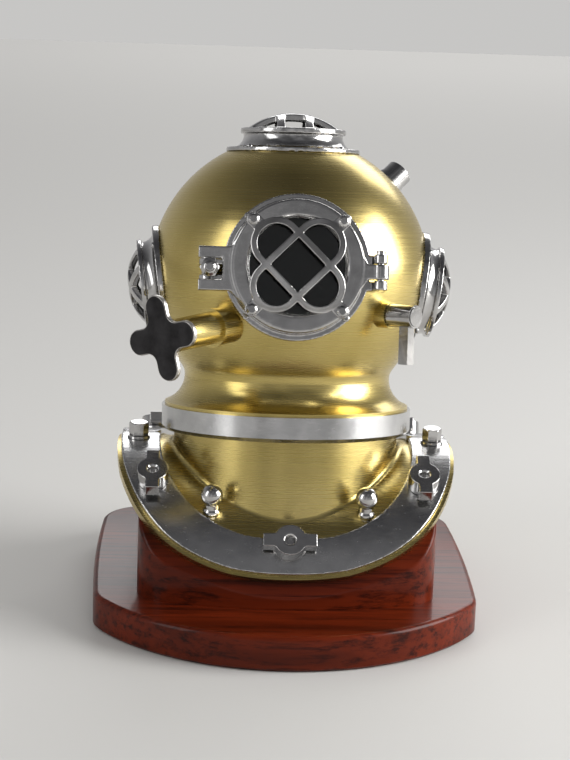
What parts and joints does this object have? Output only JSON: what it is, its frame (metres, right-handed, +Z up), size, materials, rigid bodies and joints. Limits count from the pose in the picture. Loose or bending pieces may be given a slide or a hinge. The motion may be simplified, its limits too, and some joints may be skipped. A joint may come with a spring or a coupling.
{
  "type": "brass diving helmet",
  "caption": "Desktop model of a brass deep-sea diving helmet with opening front window, turning bonnet and wing nuts on a bowed two-tier wooden base.",
  "frame": {"origin": "middle of the wooden base's underside", "axes": "+Z up from the base, -Y towards the side the front window faces, +X to the viewer's right when facing the front window"},
  "size_m": [0.142, 0.164, 0.1806],
  "materials": {
    "brass": "brushed",
    "dark_knob": "satin",
    "mahogany": "glossy varnish",
    "polished_metal": "polished",
    "rubber_seal": "matt",
    "steel_screws": "bright",
    "window_glass": "clear"
  },
  "bodies": {
    "stand": {"base_plinth": "mahogany", "base_screws": "steel_screws", "brale_studs": "polished_metal", "corselet_shell": "brass", "front_brale": "polished_metal", "lanyard_knobs": "polished_metal", "neck_gasket": "rubber_seal", "neck_spigot": "brass", "rear_brale": "polished_metal", "saddle_block": "mahogany", "shoulder_nuts": "polished_metal", "shoulder_washers": "polished_metal"},
    "bonnet": {"air_inlet": "polished_metal", "bonnet_shell": "brass", "exhaust_valve_body": "brass", "front_port_frame": "brass", "front_port_screws": "brass", "hinge_pin": "polished_metal", "latch_pin": "polished_metal", "left_port_frame": "polished_metal", "left_port_gasket": "rubber_seal", "left_port_glass": "window_glass", "left_port_screws": "brass", "neck_ring": "polished_metal", "right_port_frame": "polished_metal", "right_port_gasket": "rubber_seal", "right_port_glass": "window_glass", "right_port_screws": "brass", "spit_cock_body": "brass", "top_port_frame": "polished_metal", "top_port_gasket": "rubber_seal", "top_port_glass": "window_glass", "top_port_screws": "brass"},
    "face_door": {"face_door": "polished_metal", "face_door_glass": "window_glass", "face_door_gasket": "rubber_seal", "face_door_guard": "polished_metal", "guard_screws": "steel_screws"},
    "swing_bolt": {"swing_bolt": "brass"},
    "latch_nut": {"latch_nut": "brass"},
    "exhaust_knob": {"exhaust_knob": "dark_knob"},
    "spit_cock": {"spit_cock_lever": "brass", "spit_cock_cap": "polished_metal"},
    "wing_nut_front": {"wing_nut_front": "polished_metal"},
    "wing_nut_rear": {"wing_nut_rear": "polished_metal"},
    "wing_nut_front_left": {"wing_nut_front_left": "polished_metal"},
    "wing_nut_front_right": {"wing_nut_front_right": "polished_metal"},
    "wing_nut_rear_left": {"wing_nut_rear_left": "polished_metal"},
    "wing_nut_rear_right": {"wing_nut_rear_right": "polished_metal"}
  },
  "joints": [
    {"name": "bonnet_turn", "type": "hinge", "parent": "stand", "child": "bonnet", "pos_m": [0, 0.00616, 0.07214], "axis": [0, 0.1478, 0.989], "range_deg": [0, 45]},
    {"name": "face_door_hinge", "type": "hinge", "parent": "bonnet", "child": "face_door", "pos_m": [0.0292, -0.03791, 0.13173], "axis": [0, 0.2672, 0.9636], "range_deg": [0, 110]},
    {"name": "swing_bolt_pivot", "type": "hinge", "parent": "bonnet", "child": "swing_bolt", "pos_m": [-0.0306, -0.03184, 0.13005], "axis": [0, -0.2672, -0.9636], "range_deg": [0, 100]},
    {"name": "latch_nut_turn", "type": "hinge", "parent": "swing_bolt", "child": "latch_nut", "pos_m": [-0.0306, -0.04061, 0.13248], "axis": [0, -0.9636, 0.2672], "continuous": true},
    {"name": "exhaust_knob_turn", "type": "hinge", "parent": "bonnet", "child": "exhaust_knob", "pos_m": [-0.04528, -0.05593, 0.11061], "axis": [-0.6393, -0.7689, 0.0092], "continuous": true},
    {"name": "spit_cock_turn", "type": "hinge", "parent": "bonnet", "child": "spit_cock", "pos_m": [0.03835, -0.03178, 0.11522], "axis": [0.7431, -0.6618, 0.0989], "range_deg": [0, 90]},
    {"name": "wing_nut_front_turn", "type": "hinge", "parent": "stand", "child": "wing_nut_front", "pos_m": [0, -0.05192, 0.03642], "axis": [0, -0.766, 0.6428], "continuous": true},
    {"name": "wing_nut_rear_turn", "type": "hinge", "parent": "stand", "child": "wing_nut_rear", "pos_m": [0, 0.05992, 0.03642], "axis": [0, 0.766, 0.6428], "continuous": true},
    {"name": "wing_nut_front_left_turn", "type": "hinge", "parent": "stand", "child": "wing_nut_front_left", "pos_m": [-0.049, -0.03027, 0.05396], "axis": [0, -0.4695, 0.8829], "continuous": true},
    {"name": "wing_nut_front_right_turn", "type": "hinge", "parent": "stand", "child": "wing_nut_front_right", "pos_m": [0.049, -0.03027, 0.05396], "axis": [0, -0.4695, 0.8829], "continuous": true},
    {"name": "wing_nut_rear_left_turn", "type": "hinge", "parent": "stand", "child": "wing_nut_rear_left", "pos_m": [-0.049, 0.03827, 0.05396], "axis": [0, 0.4695, 0.8829], "continuous": true},
    {"name": "wing_nut_rear_right_turn", "type": "hinge", "parent": "stand", "child": "wing_nut_rear_right", "pos_m": [0.049, 0.03827, 0.05396], "axis": [0, 0.4695, 0.8829], "continuous": true}
  ]
}
